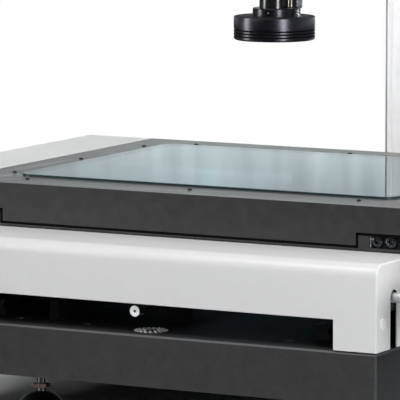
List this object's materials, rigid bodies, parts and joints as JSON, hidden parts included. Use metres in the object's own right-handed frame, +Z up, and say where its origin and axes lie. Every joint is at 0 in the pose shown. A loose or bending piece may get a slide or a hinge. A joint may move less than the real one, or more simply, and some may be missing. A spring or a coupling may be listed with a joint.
{
  "type": "vision measuring machine",
  "caption": "Bench vision measuring machine: granite base on levelling feet, hand-driven X and Y stage with glass plate, column with Z head, zoom lens and ring light.",
  "frame": {"origin": "on the floor under the middle of the machine's box", "axes": "+X to the operator's right, +Y to the back, +Z up the column"},
  "size_m": [0.562, 0.808, 0.9],
  "materials": {
    "black_granite": "honed",
    "white_enamel": "smooth powder coat",
    "black_anodised": "fine matt anodised",
    "silver_anodised": "satin anodised",
    "ground_steel": "ground",
    "chromed_steel": "polished",
    "black_screw": "black oxide",
    "cast_grey": "painted casting",
    "stage_glass": "float glass, polished edges",
    "light_window": "opal",
    "black_lens": "gloss anodised",
    "black_plastic": "moulded",
    "white_plastic": "moulded",
    "belt_rubber": "moulded",
    "foot_rubber": "moulded",
    "brass_connector": "nickel plated"
  },
  "bodies": {
    "root": {"granite_base": "black_granite", "granite_insert": "ground_steel", "foot_studs": "ground_steel", "foot_lock_nuts": "ground_steel", "foot_pads": "foot_rubber", "y_rail_left": "ground_steel", "y_rail_right": "ground_steel", "y_drive_rod": "chromed_steel", "y_rod_cradles": "black_anodised", "contour_light_base": "black_anodised", "contour_light_tube": "black_anodised", "contour_light_window": "light_window", "y_scale": "silver_anodised", "column_body": "white_enamel", "column_cap": "white_enamel", "column_flange": "cast_grey", "column_screws": "black_screw", "z_rails": "ground_steel", "z_rack": "ground_steel", "rear_panel": "black_anodised", "power_inlet": "black_plastic"},
    "y_carriage": {"carriage_casting": "cast_grey", "y_bearing_blocks": "ground_steel", "x_bearing_blocks": "ground_steel", "carriage_cover": "white_enamel", "cover_plugs": "white_plastic", "y_shaft_brackets": "black_anodised", "x_shaft_brackets": "black_anodised", "y_drive_belt": "belt_rubber", "x_drive_belt": "belt_rubber", "y_read_head": "black_anodised"},
    "x_stage": {"stage_frame": "black_anodised", "stage_front_strip": "black_anodised", "stage_glass": "stage_glass", "frame_screws": "black_screw", "end_cover_left": "silver_anodised", "end_cover_right": "silver_anodised", "x_rails": "ground_steel", "x_drive_rod": "chromed_steel", "x_rod_blocks": "black_anodised", "rod_block_screws": "black_screw"},
    "y_wheel": {"y_handwheel": "black_plastic", "y_wheel_shaft": "chromed_steel"},
    "y_roller": {"y_roller_shaft": "ground_steel"},
    "x_wheel": {"x_handwheel": "black_plastic", "x_wheel_shaft": "chromed_steel"},
    "x_roller": {"x_roller_shaft": "ground_steel"},
    "z_head": {"z_slide_plate": "black_anodised", "z_bearing_blocks": "ground_steel", "z_arm": "white_enamel", "zoom_lens_barrel": "black_lens", "camera": "black_anodised", "ring_light_housing": "black_anodised", "ring_light_collar": "black_anodised", "ring_light_diffuser": "white_plastic", "ring_light_connector": "brass_connector"},
    "zoom_ring_body": {"zoom_ring": "black_lens"},
    "z_wheel": {"z_handwheel": "black_plastic", "z_pinion_shaft": "ground_steel"},
    "switch_rocker": {"power_switch_rocker": "black_plastic"}
  },
  "joints": [
    {"name": "y_slide", "type": "slide", "parent": "root", "child": "y_carriage", "axis": [0, 1, 0], "range_m": [-0.1, 0.1]},
    {"name": "x_slide", "type": "slide", "parent": "y_carriage", "child": "x_stage", "axis": [1, 0, 0], "range_m": [-0.15, 0.15]},
    {"name": "y_wheel_turn", "type": "hinge", "parent": "y_carriage", "child": "y_wheel", "pos_m": [0.217, -0.3246, 0.125], "axis": [1, 0, 0], "range_deg": [-316.8, 316.8]},
    {"name": "y_roller_turn", "type": "hinge", "parent": "y_carriage", "child": "y_roller", "pos_m": [0, 0.076, 0.125], "axis": [1, 0, 0], "range_deg": [-316.8, 316.8]},
    {"name": "x_wheel_turn", "type": "hinge", "parent": "y_carriage", "child": "x_wheel", "pos_m": [-0.198, -0.356, 0.125], "axis": [0, 1, 0], "range_deg": [-320.3, 320.3]},
    {"name": "x_roller_turn", "type": "hinge", "parent": "y_carriage", "child": "x_roller", "pos_m": [0, -0.2765, 0.138], "axis": [0, 1, 0], "range_deg": [-320.3, 320.3]},
    {"name": "z_slide", "type": "slide", "parent": "root", "child": "z_head", "axis": [0, 0, 1], "range_m": [-0.1, 0.1]},
    {"name": "z_wheel_turn", "type": "hinge", "parent": "z_head", "child": "z_wheel", "pos_m": [0, 0.227, 0.584], "axis": [1, 0, 0], "range_deg": [-226.7, 226.7]},
    {"name": "zoom_turn", "type": "hinge", "parent": "z_head", "child": "zoom_ring_body", "pos_m": [0, -0.108, 0.4784], "axis": [0, 0, 1], "range_deg": [-70, 70]},
    {"name": "power_switch", "type": "hinge", "parent": "root", "child": "switch_rocker", "pos_m": [0.024, 0.387, 0.179], "axis": [1, 0, 0], "range_deg": [-7, 7]}
  ],
  "couplings": [
    {"joint": "y_wheel_turn", "follows": "y_slide", "rad_per_m": -54.945},
    {"joint": "y_roller_turn", "follows": "y_slide", "rad_per_m": -54.945},
    {"joint": "x_wheel_turn", "follows": "x_slide", "rad_per_m": 37.037},
    {"joint": "x_roller_turn", "follows": "x_slide", "rad_per_m": 37.037},
    {"joint": "z_wheel_turn", "follows": "z_slide", "rad_per_m": -39.216}
  ]
}
